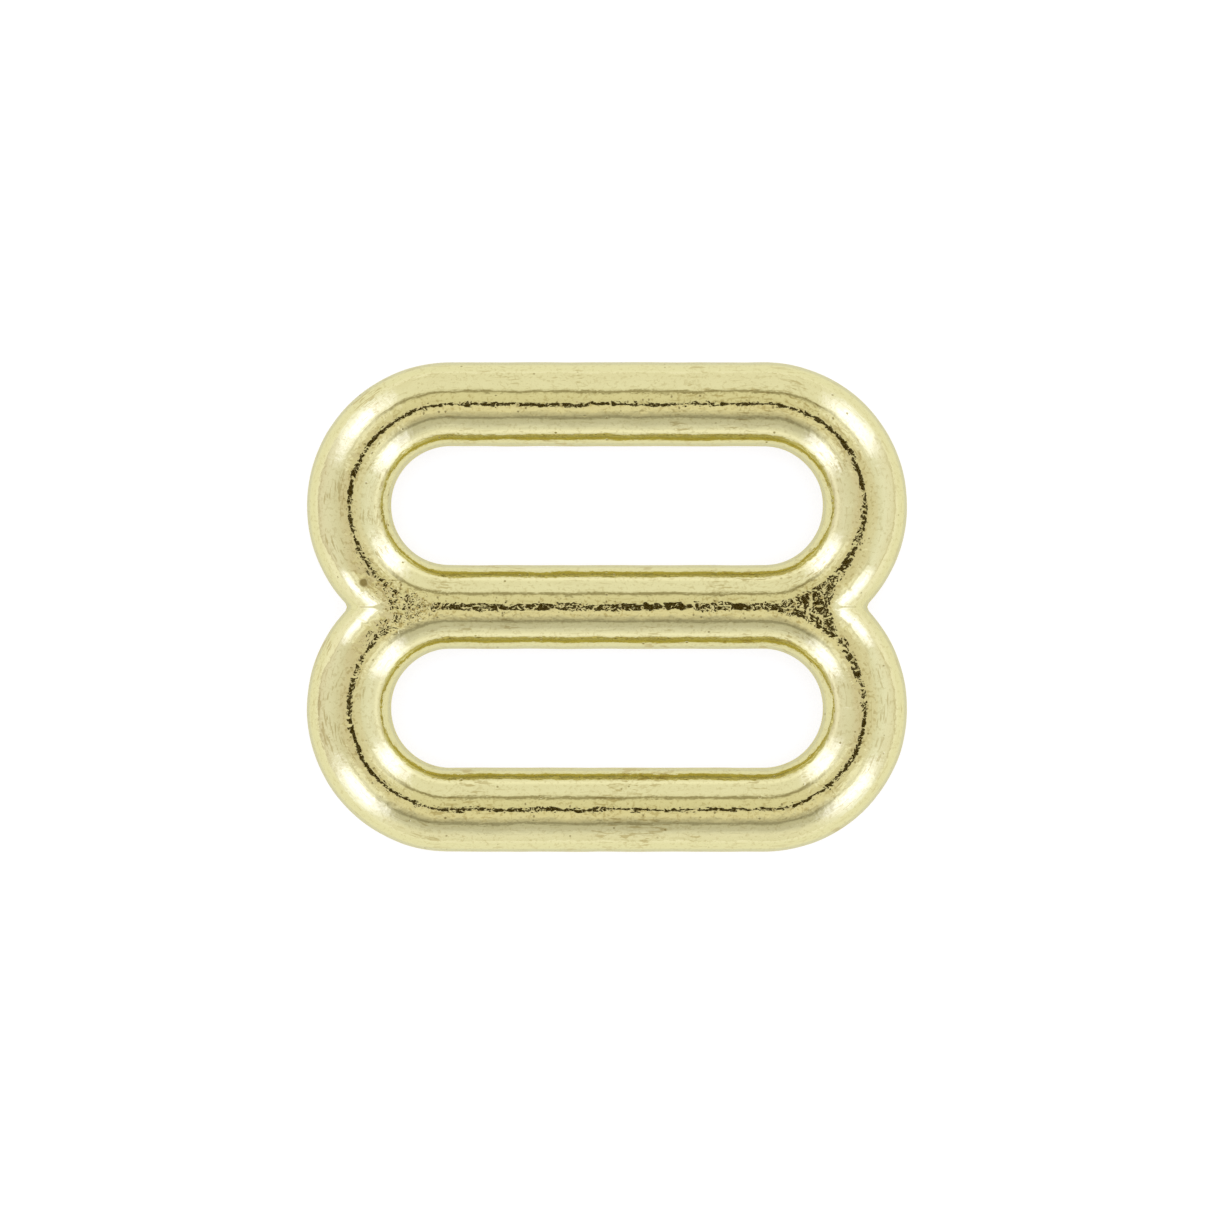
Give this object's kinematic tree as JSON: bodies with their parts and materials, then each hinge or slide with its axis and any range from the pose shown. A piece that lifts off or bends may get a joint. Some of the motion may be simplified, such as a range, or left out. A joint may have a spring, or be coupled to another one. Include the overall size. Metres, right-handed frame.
{
  "type": "strap slider",
  "caption": "Figure-eight webbing slider: two long rounded slots in a domed metal frame, for adjusting the length of a strap.",
  "frame": {"origin": "on the flat back, at the centre of the middle bar", "axes": "+X along the slots, +Y from one slot to the other, +Z out of the domed front"},
  "size_m": [0.0348, 0.0284, 0.0031],
  "materials": {
    "gold_plate": "bright pale-gold electroplate over a zinc-alloy die casting, with fine casting pits and waviness"
  },
  "bodies": {
    "root": {"slider_frame": "gold_plate"}
  },
  "joints": []
}
